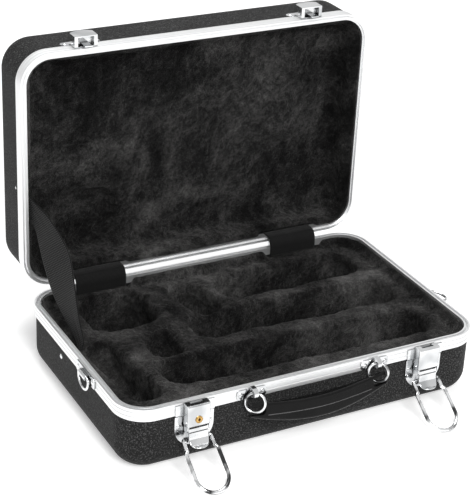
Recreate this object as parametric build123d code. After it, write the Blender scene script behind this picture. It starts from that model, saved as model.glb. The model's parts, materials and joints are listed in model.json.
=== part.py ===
from build123d import *
import math
import os

# A hard moulded clarinet case, standing open on its base. All sizes are in millimetres.
# +X runs to the right along the handle side, -Y is the handle side, +Z is up.
# The origin is the middle of the underside of the base.
# The lid and what it carries are drawn closed, then turned open about the hinge axis.

# ---- case body -------------------------------------------------------------------------------
CASE_LENGTH = 390.0
CASE_DEPTH = 250.0
CORNER_RADIUS = 31.5
BASE_HEIGHT = 70.5  # underside to the base valance's rim
LID_DEPTH = 73.0  # lid valance's rim to the outside of the lid
SEAM_GAP = 0.3  # between the two rims when closed
LID_OPEN_ANGLE = 90.0
BASE_EDGE_RADIUS = 22.0
LID_EDGE_RADIUS = 21.0
WALL = 2.6
WALL_CLEARANCE = 0.05  # shell wall in the valance's slot

# ---- valances: bent aluminium extrusions that grip the shells' edges ---------------------------
VALANCE_WIDTH = 6.0
SKIRT = 1.2
BASE_SKIRT_HEIGHT = 12.5
LID_SKIRT_HEIGHT = 14.0
INNER_SKIRT_HEIGHT = 8.0
WEB = 1.6
OUTER_LIP = 1.8
GROOVE_WIDTH = 2.6
GROOVE_DEPTH = 2.6
TONGUE_CLEARANCE = 0.5
TONGUE_HEIGHT = 2.0
FACE_LINE_DEPTH = 0.5
FACE_LINES = (0.28, 0.66)  # shares of the skirt's height

# ---- hinges ------------------------------------------------------------------------------------
HINGE_X = 114.0
HINGE_WIDTH = 50.0
HINGE_OFFSET = 3.0  # axis behind the valances' outer face
HINGE_RISE = 0.5  # axis above the base rim
KNUCKLE_RADIUS = 2.4
KNUCKLE_COUNT = 5
KNUCKLE_GAP = 0.3
HINGE_PIN_RADIUS = 1.1
HINGE_PIN_CLEARANCE = 0.05
LEAF_THICKNESS = 1.4
LEAF_HEIGHT = 11.0
HINGE_RIVET_X = 18.0
COVER_WIDTH = 56.0
COVER_THICKNESS = 0.8
COVER_LAP = 7.0  # how far it lies on the lid valance's inner face

# ---- soft parts --------------------------------------------------------------------------------
SOFT_GAP = 0.3
INSERT_TOP = 60.0
INSERT_EDGE = 3.0
POCKET_EDGE = 5.0
POCKET_FLARE = 35.0
TROUGH_EDGE = 14.0
SLOT_EDGE = 8.0
LINER_START = 10.5  # lid rim to the liner's edge
LINER_WALL = 10.0
LINER_FLOOR = 34.0  # lid rim to the padded surface
LINER_EDGE = 14.0
LINER_LIP = 4.0
BELL_RECESS_DEPTH = 13.0

# pockets of the base insert: middle, size, turn in plan, floor's height, edge of the floor
POCKETS = {
    "bell": ((-115.0, 76.0), (72.0, 68.0), 0.0, 12.0, TROUGH_EDGE),
    "barrel": ((-30.0, 70.0), (38.0, 64.0), 12.0, 22.0, TROUGH_EDGE),
    "accessories": ((83.0, 76.0), (164.0, 46.0), 0.0, 24.0, TROUGH_EDGE),
    "upper_joint": ((56.0, 10.0), (232.0, 44.0), -1.5, 20.0, TROUGH_EDGE),
    "lower_joint": ((22.0, -58.0), (292.0, 46.0), -1.5, 20.0, TROUGH_EDGE),
    "reeds": ((-100.0, -4.0), (30.0, 42.0), 0.0, 26.0, SLOT_EDGE),
    "mouthpiece": ((-158.0, -34.0), (30.0, 108.0), 4.0, 24.0, SLOT_EDGE),
}

# ---- rivets ------------------------------------------------------------------------------------
RIVET_HEAD_RADIUS = 2.6
RIVET_HEAD_HEIGHT = 1.1
RIVET_SHANK_RADIUS = 1.4
VALANCE_RIVET_DROP = 6.8  # rim to the rivets that go through a valance

# ---- latches -----------------------------------------------------------------------------------
LATCH_X = 126.0
SHEET = 1.2
PLATE_WIDTH = 40.0
PLATE_TOP = 2.0  # below the base rim
PLATE_DROP = 45.5
JOGGLE = 1.8
JOGGLE_GAP = 0.3  # valance skirt's edge to where a sheet starts to step in
HOUSING_WIDTH = 23.4
HOUSING_REACH = 8.4  # out from the plate's front
HOUSING_DROP = 22.0
HOUSING_EDGE = 1.6
EAR_RADIUS = 3.6
HASP_SLOT_WIDTH = 13.0
HASP_SLOT_DEPTH = 4.4
LEVER_PIN_REACH = 6.0
LEVER_PIN_DROP = 25.5
LEVER_PIN_RADIUS = 1.25
LEVER_PIN_CLEARANCE = 0.05
LATCH_RIVET_X = 16.0
LATCH_RIVET_DROP = 25.5
LEVER_WIDTH = 20.4
LEVER_FACE = 2.6  # pin to the middle of the lever's sheet
LEVER_TOP = 1.0  # pin to the lever's top edge
LEVER_STRAIGHT = 7.5  # pin down to where the lip starts to curl
LEVER_ROUND_DROP = 5.5  # pin to the middle of the half-round end
LEVER_CHEEK_RADIUS = 3.2
LEVER_LIP_RADIUS = 9.0
LEVER_LIP_ANGLE = 70.0
BAIL_DROP = 36.5
BAIL_WIRE = 1.9
BAIL_CLEARANCE = 0.08
BAIL_NECK = 14.2
BAIL_SPREAD = 16.4
BAIL_STUB = 7.4  # middle to the end of the wire in the lever's cheek
BAIL_BEND = 2.4
BAIL_JOG_START = 11.5
BAIL_JOG_END = 14.5
BAIL_LENGTH = 56.0
BAIL_CLOSED_LEAN = 2.6  # past upright, towards the case
FLOOR_GAP = 0.3  # under the bail that leans on the table
LOCK_RADIUS = 3.6
LOCK_DROP = 15.5
LOCK_CLEARANCE = 0.05
LOCK_LENGTH = 6.0
LOCK_PROUD = 0.7
KEYWAY_WIDTH = 1.0
KEYWAY_HEIGHT = 4.0
KEYWAY_DEPTH = 3.0

# ---- keepers on the lid ------------------------------------------------------------------------
KEEPER_RISE = 3.0  # above the lid rim when closed
KEEPER_HALF_WIDTH = 12.0
KEEPER_THROAT = 9.4
KEEPER_LIP = 3.4  # how far the hook's flange stands past its throat
KEEPER_CLEARANCE = 0.3
KEEPER_CAVITY_WIDTH = 17.0
KEEPER_CAVITY_HEIGHT = 5.0
KEEPER_EAR_X = 16.0
KEEPER_EAR_RADIUS = 4.6
KEEPER_EAR_RISE = 19.0
HASP_WIDTH = 8.0
HASP_LENGTH = 7.5

# ---- handle ------------------------------------------------------------------------------------
BRACKET_X = 67.5
BRACKET_WIDTH = 31.0
BRACKET_HEIGHT = 10.0
BRACKET_DROP = 6.8  # base rim to the plate's middle
STAPLE_WIDTH = 4.5
STAPLE_BORE = 4.0
STAPLE_DROP = 4.2
STAPLE_REACH = 4.8  # bore's middle out from the plate's front
PLATE_CORNER = 3.0
BRACKET_RIVET_X = 11.5
RING_RADIUS = 9.3
RING_WIRE = 1.4
RING_SKEW = 36.0
RING_LEAN = 18.0
GRIP_HALF_LENGTH = 75.0
GRIP_MIDDLE_HEIGHT = 20.0
GRIP_END_HEIGHT = 14.0
GRIP_MIDDLE_THICKNESS = 13.5
GRIP_END_THICKNESS = 6.2
GRIP_TAB_X = 54.0  # middle to where the flat ends start
GRIP_SAG = 11.0
GRIP_EDGE = 2.2
EYE_LENGTH = 18.0
EYE_HEIGHT = 8.6
EYE_TILT = 8.0
EYE_RISE = 1.7  # ring wire's middle to the eye's middle

# ---- rings for a shoulder strap ----------------------------------------------------------------
STRAP_BRACKET_Y = -34.0
STRAP_BRACKET_LENGTH = 44.0
STRAP_BRACKET_HEIGHT = 11.0
STRAP_BRACKET_DROP = 6.5
STRAP_RING_WIRE = 1.4
STRAP_RING_CLEARANCE = 0.3
STRAP_RING_HALF = 11.5
STRAP_RING_DEPTH = 14.5
STRAP_RING_CORNER = 3.0
STRAP_RING_ROUND = 11.3
STRAP_STAPLE_LENGTH = 15.0
STRAP_RIVET_Y = 17.0
STRAP_RING_LIFT = 75.0  # how far the right-hand ring stands out

# ---- lid stay: a webbing strap, gathered under a rivet at each end -------------------------------
STAY_WIDTH = 38.0
STAY_END_WIDTH = 20.0
STAY_THICKNESS = 1.2
STAY_BASE_Y = 32.0
STAY_BASE_Z = 47.0
STAY_LID_DEPTH = 22.2  # lid rim to its rivet
STAY_LID_Y = 21.0  # of its rivet when the lid is closed
STAY_TAIL = 10.0
STAY_FLAT = 3.2  # rivet to where the strap starts to step in
STAY_RAMP = 10.5  # rivet to where the strap has stepped in past the valance
STAY_STEP = 4.0
STAY_TWIST = 27.0
STAY_SAG_X = 12.0  # the twisted middle stands in by this much
STAY_NOTCH_DEPTH = 10.0
STAY_NOTCH_NEAR = 17.0  # rivet to the notch's near edges
STAY_NOTCH_FAR = 36.0  # rivet to the notch's edge towards the hinges

# ---- derived places ----------------------------------------------------------------------------
SIDE_X = CASE_LENGTH / 2
BACK_Y = CASE_DEPTH / 2
FRONT_Y = -BACK_Y
RIM_Z = BASE_HEIGHT
LID_RIM_Z = RIM_Z + SEAM_GAP
LID_TOP_Z = LID_RIM_Z + LID_DEPTH
SHELL_INSET = SKIRT + WALL_CLEARANCE
SHELL_INNER = SHELL_INSET + WALL
SLOT_INNER = SHELL_INNER + WALL_CLEARANCE
LINING_INSET = SHELL_INNER + SOFT_GAP
BASE_WEB_DROP = GROOVE_DEPTH + WEB
HINGE_Y = BACK_Y + HINGE_OFFSET
HINGE_Z = RIM_Z + HINGE_RISE
HINGE_AXIS = Axis((0, HINGE_Y, HINGE_Z), (1, 0, 0))
LEVER_PIN_Y = -LEVER_PIN_REACH
BAIL_PIVOT_Z = RIM_Z - BAIL_DROP
BAIL_LEAN = math.degrees(math.acos((BAIL_PIVOT_Z - BAIL_WIRE - FLOOR_GAP) / BAIL_LENGTH))
BAIL_EYE_Z = BAIL_LENGTH - BAIL_SPREAD - BAIL_DROP  # middle of the closed bail's round end
KEEPER_RADIUS = BAIL_SPREAD - BAIL_WIRE - KEEPER_CLEARANCE
STAPLE_RADIUS = STAPLE_BORE + SHEET
RING_PIVOT_Y = FRONT_Y - SHEET - STAPLE_REACH
RING_PIVOT_Z = RIM_Z - STAPLE_DROP
RING_DROP = 2 * RING_RADIUS
STRAP_BORE = STRAP_RING_WIRE + STRAP_RING_CLEARANCE
STRAP_RING_REACH = SHEET + STRAP_BORE
STAY_WALL_X = -(SIDE_X - SHELL_INNER)


# ---- shared forms --------------------------------------------------------------------------------
def case_outline(inset):
    """Plan outline of the case, drawn in by inset."""
    return RectangleRounded(CASE_LENGTH - 2 * inset, CASE_DEPTH - 2 * inset, CORNER_RADIUS - inset)


def rounded_block(inset, height, edge_radius):
    """Block on the case's outline with its lower edge rounded."""
    block = extrude(case_outline(inset), amount=height)
    return fillet(block.edges().group_by(Axis.Z)[0], edge_radius)


def side_section(*lines):
    """Face in the Y-Z plane inside the given lines."""
    return Plane.YZ * make_face(Curve() + list(lines))


def side_prism(points, width):
    """Prism along X, centred on X = 0, on a section given as (y, z) points."""
    return extrude(Plane.YZ * make_face(Polyline(*points, close=True)), amount=width / 2, both=True)


def cross_rod(radius, length, y, z):
    """Rod along X, centred on X = 0."""
    return Pos(0, y, z) * Rot(0, 90, 0) * Cylinder(radius, length)


def front_cut(sketch, depth):
    """Prism through Y on a sketch drawn in the X-Z plane."""
    return extrude(Plane.XZ * sketch, amount=depth, both=True)


def opened(part):
    """Turn a lid piece from closed to the angle at which the lid stands open."""
    return part.rotate(HINGE_AXIS, -LID_OPEN_ANGLE)


# ---- shells and valances -------------------------------------------------------------------------
def tray(height, edge_radius):
    """Moulded shell, open at the top, that stands in a valance's slot."""
    outer = rounded_block(SHELL_INSET, height, edge_radius)
    inner = rounded_block(SHELL_INNER, height, edge_radius - WALL)
    return outer - Pos(0, 0, WALL) * inner


def base_shell():
    """Lower shell."""
    return tray(BASE_HEIGHT - BASE_WEB_DROP, BASE_EDGE_RADIUS)


def lid_shell():
    """Upper shell, closed."""
    return Pos(0, 0, LID_TOP_Z) * Rot(180, 0, 0) * tray(LID_DEPTH - WEB, LID_EDGE_RADIUS)


def face_points(height, direction):
    """Outer face of a valance's skirt, from its edge back to the rim, with two V lines."""
    points = []
    for share in sorted(FACE_LINES, reverse=True):
        z = share * height
        points.append((0, direction * (z + FACE_LINE_DEPTH)))
        points.append((FACE_LINE_DEPTH, direction * z))
        points.append((0, direction * (z - FACE_LINE_DEPTH)))
    return [(0, direction * height)] + points


def valance_ring(section, z):
    """Sweep a section (inward, upward from the rim) round the case's outline."""
    path = FilletPolyline(
        (0, FRONT_Y, z), (SIDE_X, FRONT_Y, z), (SIDE_X, BACK_Y, z), (0, BACK_Y, z), radius=CORNER_RADIUS
    )
    start = Plane(origin=(0, FRONT_Y, z), x_dir=(0, 1, 0), z_dir=(1, 0, 0))
    half = sweep(start * make_face(Polyline(*section, close=True)), path=path)
    return half + mirror(half, Plane.YZ)


def base_valance():
    """Lower extrusion with the groove that the lid's tongue closes into."""
    groove_inner = OUTER_LIP + GROOVE_WIDTH
    section = [
        (0, 0),
        (OUTER_LIP, 0),
        (OUTER_LIP, -GROOVE_DEPTH),
        (groove_inner, -GROOVE_DEPTH),
        (groove_inner, 0),
        (VALANCE_WIDTH, 0),
        (VALANCE_WIDTH, -INNER_SKIRT_HEIGHT),
        (SLOT_INNER, -INNER_SKIRT_HEIGHT),
        (SLOT_INNER, -BASE_WEB_DROP),
        (SKIRT, -BASE_WEB_DROP),
        (SKIRT, -BASE_SKIRT_HEIGHT),
    ]
    return valance_ring(section + face_points(BASE_SKIRT_HEIGHT, -1), RIM_Z)


def lid_valance():
    """Upper extrusion with the tongue, closed."""
    tongue_outer = OUTER_LIP + TONGUE_CLEARANCE
    tongue_inner = OUTER_LIP + GROOVE_WIDTH - TONGUE_CLEARANCE
    section = [
        (0, 0),
        (tongue_outer, 0),
        (tongue_outer, -TONGUE_HEIGHT),
        (tongue_inner, -TONGUE_HEIGHT),
        (tongue_inner, 0),
        (VALANCE_WIDTH, 0),
        (VALANCE_WIDTH, INNER_SKIRT_HEIGHT),
        (SLOT_INNER, INNER_SKIRT_HEIGHT),
        (SLOT_INNER, WEB),
        (SKIRT, WEB),
        (SKIRT, LID_SKIRT_HEIGHT),
    ]
    return valance_ring(section + face_points(LID_SKIRT_HEIGHT, 1), LID_RIM_Z)


# ---- linings -------------------------------------------------------------------------------------
def pocket(place, size, turn, floor, edge):
    """Cutter for one pocket: rounded floor, straight walls and a flared mouth."""
    corner = edge + INSERT_EDGE
    well = extrude(RectangleRounded(*size, corner), amount=INSERT_TOP - floor)
    well = fillet(well.edges().group_by(Axis.Z)[0], edge)
    flare = 2 * POCKET_EDGE * math.tan(math.radians(POCKET_FLARE))
    top = RectangleRounded(size[0] + flare, size[1] + flare, corner + flare / 2)
    throat = Pos(0, 0, -POCKET_EDGE) * RectangleRounded(*size, corner)
    mouth = Pos(0, 0, INSERT_TOP - floor) * loft([throat, top])
    return Pos(*place, floor) * Rot(0, 0, turn) * (well + mouth)


def stay_notch(rivet_y, low_z, high_z):
    """Cutter for the space beside the shell's left wall where the stay is riveted."""
    length = STAY_NOTCH_NEAR + STAY_NOTCH_FAR
    middle_x = STAY_WALL_X + (STAY_NOTCH_DEPTH - SOFT_GAP) / 2
    middle_y = rivet_y + (STAY_NOTCH_FAR - STAY_NOTCH_NEAR) / 2
    notch = Box(STAY_NOTCH_DEPTH + SOFT_GAP, length, high_z - low_z)
    return Pos(middle_x, middle_y, (low_z + high_z) / 2) * notch


def base_insert():
    """Plush-covered moulded block with a pocket for each piece of the instrument."""
    floor = WALL + SOFT_GAP
    block = Pos(0, 0, floor) * rounded_block(LINING_INSET, INSERT_TOP - floor, BASE_EDGE_RADIUS - floor)
    for shape in POCKETS.values():
        block -= pocket(*shape)
    return block - stay_notch(STAY_BASE_Y, STAY_BASE_Z - STAY_NOTCH_NEAR, INSERT_TOP)


def lid_liner():
    """Padded lid lining with a recess over the bell, closed."""
    floor = WALL + SOFT_GAP
    top_z = LID_TOP_Z - floor
    start_z = LID_RIM_Z + LINER_START
    hollow_z = LID_RIM_Z + LINER_FLOOR
    block = Pos(0, 0, top_z) * Rot(180, 0, 0) * rounded_block(
        LINING_INSET, top_z - start_z, LID_EDGE_RADIUS - floor
    )
    inset = LINING_INSET + LINER_WALL
    hollow = Pos(0, 0, hollow_z) * Rot(180, 0, 0) * rounded_block(inset, hollow_z - start_z, LINER_EDGE)
    place, size, turn, _, _ = POCKETS["bell"]
    recess = extrude(RectangleRounded(*size, size[1] / 3), amount=hollow_z + BELL_RECESS_DEPTH - start_z)
    recess = fillet(recess.edges().group_by(Axis.Z)[-1], BELL_RECESS_DEPTH - INSERT_EDGE)
    recess = Pos(*place, start_z) * Rot(0, 0, turn) * recess
    notch = stay_notch(STAY_LID_Y, start_z, LID_RIM_Z + STAY_LID_DEPTH + STAY_NOTCH_NEAR)
    return block - hollow - recess - notch


# ---- hinges --------------------------------------------------------------------------------------
def knuckles(first):
    """X ranges of every other knuckle, from the given one on."""
    pitch = (HINGE_WIDTH + KNUCKLE_GAP) / KNUCKLE_COUNT
    starts = [index * pitch - HINGE_WIDTH / 2 for index in range(first, KNUCKLE_COUNT, 2)]
    return [(start, start + pitch - KNUCKLE_GAP) for start in starts]


def hinge_leaf(first, rim_rise, direction):
    """One leaf, about the hinge's middle: plate, webs and rolled knuckles."""
    clear = KNUCKLE_RADIUS + KNUCKLE_GAP
    plate_front = LEAF_THICKNESS - HINGE_OFFSET
    plate_end = rim_rise + direction * LEAF_HEIGHT
    plate_start = direction * math.sqrt(clear**2 - plate_front**2)
    middle_y = (plate_front - HINGE_OFFSET) / 2
    middle_z = (plate_start + plate_end) / 2
    leaf = Pos(0, middle_y, middle_z) * Box(HINGE_WIDTH, LEAF_THICKNESS, abs(plate_end - plate_start))
    web_end = direction * KNUCKLE_RADIUS
    for start, end in knuckles(first):
        middle_x = (start + end) / 2
        width = end - start
        web = Pos(middle_x, -HINGE_OFFSET / 2, (web_end + rim_rise) / 2) * Box(
            width, HINGE_OFFSET, abs(web_end - rim_rise)
        )
        leaf += web + Pos(middle_x, 0, 0) * cross_rod(KNUCKLE_RADIUS, width, 0, 0)
    return leaf - cross_rod(HINGE_PIN_RADIUS + HINGE_PIN_CLEARANCE, HINGE_WIDTH, 0, 0)


def hinge_base_leaf(x):
    """Leaf riveted to the base's back."""
    return Pos(x, HINGE_Y, HINGE_Z) * hinge_leaf(0, RIM_Z - HINGE_Z, -1)


def hinge_lid_leaf(x):
    """Leaf riveted to the lid's back, closed."""
    return Pos(x, HINGE_Y, HINGE_Z) * hinge_leaf(1, LID_RIM_Z - HINGE_Z, 1)


def hinge_pin(x):
    """Pin through all the knuckles."""
    return Pos(x, 0, 0) * cross_rod(HINGE_PIN_RADIUS, HINGE_WIDTH, HINGE_Y, HINGE_Z)


def hinge_cover(x):
    """Cloth strip that hides the hinge's gap from inside, with the lid open."""
    half = COVER_THICKNESS / 2
    inner_y = BACK_Y - VALANCE_WIDTH - SOFT_GAP - half
    lid_face_z = HINGE_Z + HINGE_OFFSET + VALANCE_WIDTH + SOFT_GAP + half
    lid_rim_y = HINGE_Y - (HINGE_Z - LID_RIM_Z)
    start = (inner_y, INSERT_TOP + SOFT_GAP)
    over_rim = (inner_y, RIM_Z + SOFT_GAP + half)
    at_lid = (lid_rim_y - SOFT_GAP - half, lid_face_z)
    end = (lid_rim_y + COVER_LAP, lid_face_z)
    path = Plane.YZ * FilletPolyline(start, over_rim, at_lid, end, radius=1.0)
    section = Plane(origin=(0, *start), x_dir=(1, 0, 0), z_dir=(0, 0, 1))
    return Pos(x, 0, 0) * sweep(section * Rectangle(COVER_WIDTH, COVER_THICKNESS), path=path)


# ---- latches, about the middle of the latch on the rim's front edge --------------------------------
def joggled_sheet(near, joggle, far, width):
    """Sheet that lies on a valance's skirt and steps in to lie on the shell."""
    points = [
        (-SHEET, near),
        (-SHEET, joggle),
        (SHELL_INSET - SHEET, joggle + math.copysign(JOGGLE, far)),
        (SHELL_INSET - SHEET, far),
        (SHELL_INSET, far),
        (SHELL_INSET, joggle + math.copysign(JOGGLE, far)),
        (0, joggle),
        (0, near),
    ]
    return side_prism(points, width)


def latch_plate():
    """Backplate with a half-round lower end."""
    radius = PLATE_WIDTH / 2
    bottom = -PLATE_TOP - PLATE_DROP
    joggle = -BASE_SKIRT_HEIGHT - JOGGLE_GAP
    sheet = joggled_sheet(-PLATE_TOP, joggle, bottom, PLATE_WIDTH)
    straight = -PLATE_TOP - bottom - radius
    outline = Pos(0, bottom + radius) * Circle(radius)
    outline += Pos(0, bottom + radius + straight / 2) * Rectangle(PLATE_WIDTH, straight)
    return sheet & front_cut(outline, PLATE_WIDTH)


def latch_housing(locked):
    """Pressed box with a slotted top and two ears for the lever's pin."""
    front = -SHEET - HOUSING_REACH
    body = side_prism([(-SHEET, 0), (front, 0), (front, -HOUSING_DROP), (-SHEET, -HOUSING_DROP)], HOUSING_WIDTH)
    edges = body.edges().filter_by(Axis.Z).group_by(Axis.Y)[0] + body.edges().filter_by(Axis.X).group_by(Axis.Y)[0]
    body = fillet(edges.group_by(Axis.Z)[-1] + edges.filter_by(Axis.Z), HOUSING_EDGE)
    ear_height = LEVER_PIN_DROP - HOUSING_DROP
    ears = Pos(0, LEVER_PIN_Y, -HOUSING_DROP - ear_height / 2) * Box(HOUSING_WIDTH, 2 * EAR_RADIUS, ear_height)
    ears += cross_rod(EAR_RADIUS, HOUSING_WIDTH, LEVER_PIN_Y, -LEVER_PIN_DROP)
    inner_width = HOUSING_WIDTH - 2 * SHEET
    drop = LEVER_PIN_DROP + EAR_RADIUS
    inner_front = front + SHEET
    cavity = side_prism([(0, -SHEET), (inner_front, -SHEET), (inner_front, -drop), (0, -drop)], inner_width)
    between = side_prism(
        [(0, -HOUSING_DROP), (2 * front, -HOUSING_DROP), (2 * front, -drop), (0, -drop)], inner_width
    )
    slot = Pos(0, -SHEET - HASP_SLOT_DEPTH / 2, 0) * Box(HASP_SLOT_WIDTH, HASP_SLOT_DEPTH, 4 * SHEET)
    pin = cross_rod(LEVER_PIN_RADIUS, HOUSING_WIDTH, LEVER_PIN_Y, -LEVER_PIN_DROP)
    housing = body + ears - cavity - between - slot - pin
    if locked:
        housing -= Pos(0, front, -LOCK_DROP) * Rot(90, 0, 0) * Cylinder(LOCK_RADIUS + LOCK_CLEARANCE, 4 * SHEET)
    return housing


def latch_lever():
    """Draw lever: a curled sheet with two cheeks that carry the bail."""
    face_y = LEVER_PIN_Y - LEVER_FACE
    pin_z = -LEVER_PIN_DROP
    straight = Line((face_y, pin_z + LEVER_TOP), (face_y, pin_z - LEVER_STRAIGHT))
    curl = JernArc(straight @ 1, (0, -1), LEVER_LIP_RADIUS, -LEVER_LIP_ANGLE)
    sheet = extrude(Plane.YZ * trace(straight + curl, SHEET), amount=LEVER_WIDTH / 2, both=True)
    round_z = pin_z - LEVER_ROUND_DROP
    outline = Pos(0, round_z) * Circle(LEVER_WIDTH / 2)
    outline += Pos(0, round_z + LEVER_WIDTH / 2) * Rectangle(LEVER_WIDTH, LEVER_WIDTH)
    blade = sheet & front_cut(outline, LEVER_WIDTH + BAIL_DROP)
    reach = BAIL_DROP - LEVER_PIN_DROP
    cheek = Pos(0, LEVER_PIN_Y, pin_z - reach / 2) * Box(SHEET, 2 * LEVER_CHEEK_RADIUS, reach)
    for z in (-LEVER_PIN_DROP, -BAIL_DROP):
        cheek += cross_rod(LEVER_CHEEK_RADIUS, SHEET, LEVER_PIN_Y, z)
    cheek_x = (LEVER_WIDTH - SHEET) / 2
    lever = blade + Pos(cheek_x, 0, 0) * cheek + Pos(-cheek_x, 0, 0) * cheek
    lever -= cross_rod(LEVER_PIN_RADIUS + LEVER_PIN_CLEARANCE, 2 * LEVER_WIDTH, LEVER_PIN_Y, pin_z)
    return lever - cross_rod(BAIL_WIRE + BAIL_CLEARANCE, 2 * LEVER_WIDTH, LEVER_PIN_Y, -BAIL_DROP)


def latch_lever_pin():
    """Pin between the housing's ears."""
    return cross_rod(LEVER_PIN_RADIUS, HOUSING_WIDTH, LEVER_PIN_Y, -LEVER_PIN_DROP)


def latch_bail():
    """Wire bail, leaning out with its tip just over the table."""
    round_z = BAIL_SPREAD - BAIL_LENGTH
    leg = FilletPolyline(
        (-BAIL_STUB, 0),
        (-BAIL_NECK, 0),
        (-BAIL_NECK, -BAIL_JOG_START),
        (-BAIL_SPREAD, -BAIL_JOG_END),
        (-BAIL_SPREAD, round_z),
        radius=BAIL_BEND,
    )
    turn = JernArc((-BAIL_SPREAD, round_z), (0, -1), BAIL_SPREAD, 90)
    path = Plane.XZ * (leg + turn)
    half = sweep(Plane(origin=(-BAIL_STUB, 0, 0), z_dir=(-1, 0, 0)) * Circle(BAIL_WIRE), path=path)
    bail = half + mirror(half, Plane.YZ)
    return Pos(0, LEVER_PIN_Y, -BAIL_DROP) * Rot(-BAIL_LEAN, 0, 0) * bail


def lock_cylinder():
    """Brass plug with a keyway in the left latch's housing."""
    front = -SHEET - HOUSING_REACH - LOCK_PROUD
    plug = Rot(90, 0, 0) * Cylinder(LOCK_RADIUS, LOCK_LENGTH)
    keyway = Pos(0, (KEYWAY_DEPTH - LOCK_LENGTH) / 2, 0) * Box(KEYWAY_WIDTH, KEYWAY_DEPTH, KEYWAY_HEIGHT)
    return Pos(0, front + LOCK_LENGTH / 2, -LOCK_DROP) * (plug - keyway)


def keeper():
    """Hook for the bail with a hasp tongue, about the latch's middle on the base rim, closed."""
    rim = SEAM_GAP
    plate_top = rim + KEEPER_EAR_RISE + KEEPER_EAR_RADIUS
    joggle = rim + LID_SKIRT_HEIGHT + JOGGLE_GAP
    sheet = joggled_sheet(KEEPER_RISE, joggle, plate_top, 2 * (KEEPER_EAR_X + KEEPER_EAR_RADIUS))
    ear_z = rim + KEEPER_EAR_RISE
    outline = Pos(0, ear_z) * Rectangle(2 * KEEPER_EAR_X, 2 * KEEPER_EAR_RADIUS)
    outline += Pos(KEEPER_EAR_X, ear_z) * Circle(KEEPER_EAR_RADIUS)
    outline += Pos(-KEEPER_EAR_X, ear_z) * Circle(KEEPER_EAR_RADIUS)
    outline += Pos(0, (KEEPER_RISE + ear_z) / 2) * Rectangle(2 * KEEPER_HALF_WIDTH, ear_z - KEEPER_RISE)
    plate = sheet & front_cut(outline, PLATE_WIDTH)
    limit_height = plate_top - KEEPER_RISE
    limit = Pos(0, KEEPER_RISE + limit_height / 2) * Rectangle(2 * KEEPER_HALF_WIDTH, limit_height)
    throat = limit & Pos(0, BAIL_EYE_Z) * Circle(KEEPER_RADIUS)
    lip = limit & Pos(0, BAIL_EYE_Z) * Circle(KEEPER_RADIUS + KEEPER_LIP)
    boss = extrude(Plane.XZ.offset(SHEET) * throat, amount=KEEPER_THROAT)
    flange = extrude(Plane.XZ.offset(SHEET + KEEPER_THROAT) * lip, amount=SHEET)
    cavity = Pos(0, -SHEET - KEEPER_THROAT / 2, KEEPER_RISE) * Box(
        KEEPER_CAVITY_WIDTH, KEEPER_THROAT, 2 * KEEPER_CAVITY_HEIGHT
    )
    hasp_length = HASP_LENGTH + KEEPER_CAVITY_HEIGHT
    hasp_z = KEEPER_RISE + KEEPER_CAVITY_HEIGHT - hasp_length / 2
    hasp = Pos(0, -SHEET - HASP_SLOT_DEPTH / 2, hasp_z) * Box(HASP_WIDTH, SHEET, hasp_length)
    return plate + boss + flange - cavity + hasp


# ---- handle --------------------------------------------------------------------------------------
def handle_bracket():
    """Riveted plate with a bent staple, about its middle on the rim's front edge."""
    outline = Pos(0, -BRACKET_DROP) * RectangleRounded(BRACKET_WIDTH, BRACKET_HEIGHT, PLATE_CORNER)
    plate = extrude(Plane.XZ * outline, amount=SHEET)
    axis_y = -SHEET - STAPLE_REACH
    staple = cross_rod(STAPLE_RADIUS, STAPLE_WIDTH, axis_y, -STAPLE_DROP)
    foot = Pos(0, (axis_y - SHEET) / 2, -STAPLE_DROP) * Box(STAPLE_WIDTH, STAPLE_REACH, 2 * STAPLE_RADIUS)
    bore = cross_rod(STAPLE_BORE, STAPLE_WIDTH, axis_y, -STAPLE_DROP)
    throat = Pos(0, (axis_y - SHEET) / 2, -STAPLE_DROP) * Box(STAPLE_WIDTH, STAPLE_REACH, 2 * STAPLE_BORE)
    return plate + (staple + foot - bore - throat)


def handle_ring():
    """Round ring through a staple, about its pivot, skewed and leaning out."""
    ring = Rot(90, 0, 0) * Torus(RING_RADIUS, RING_WIRE)
    return Rot(-RING_LEAN, 0, 0) * Pos(0, 0, -RING_RADIUS) * Rot(0, 0, -RING_SKEW) * ring


def arch(half_length, rise, offset):
    """Circular arc through its middle, offset, and its ends, offset + rise."""
    return ThreePointArc((-half_length, offset + rise), (0, offset), (half_length, offset + rise))


def swell(middle, end):
    """Curve in plan that swells between the grip's two flat ends."""
    return Spline(
        (-GRIP_HALF_LENGTH, end), (-GRIP_TAB_X, end), (0, middle), (GRIP_TAB_X, end), (GRIP_HALF_LENGTH, end)
    )


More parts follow.
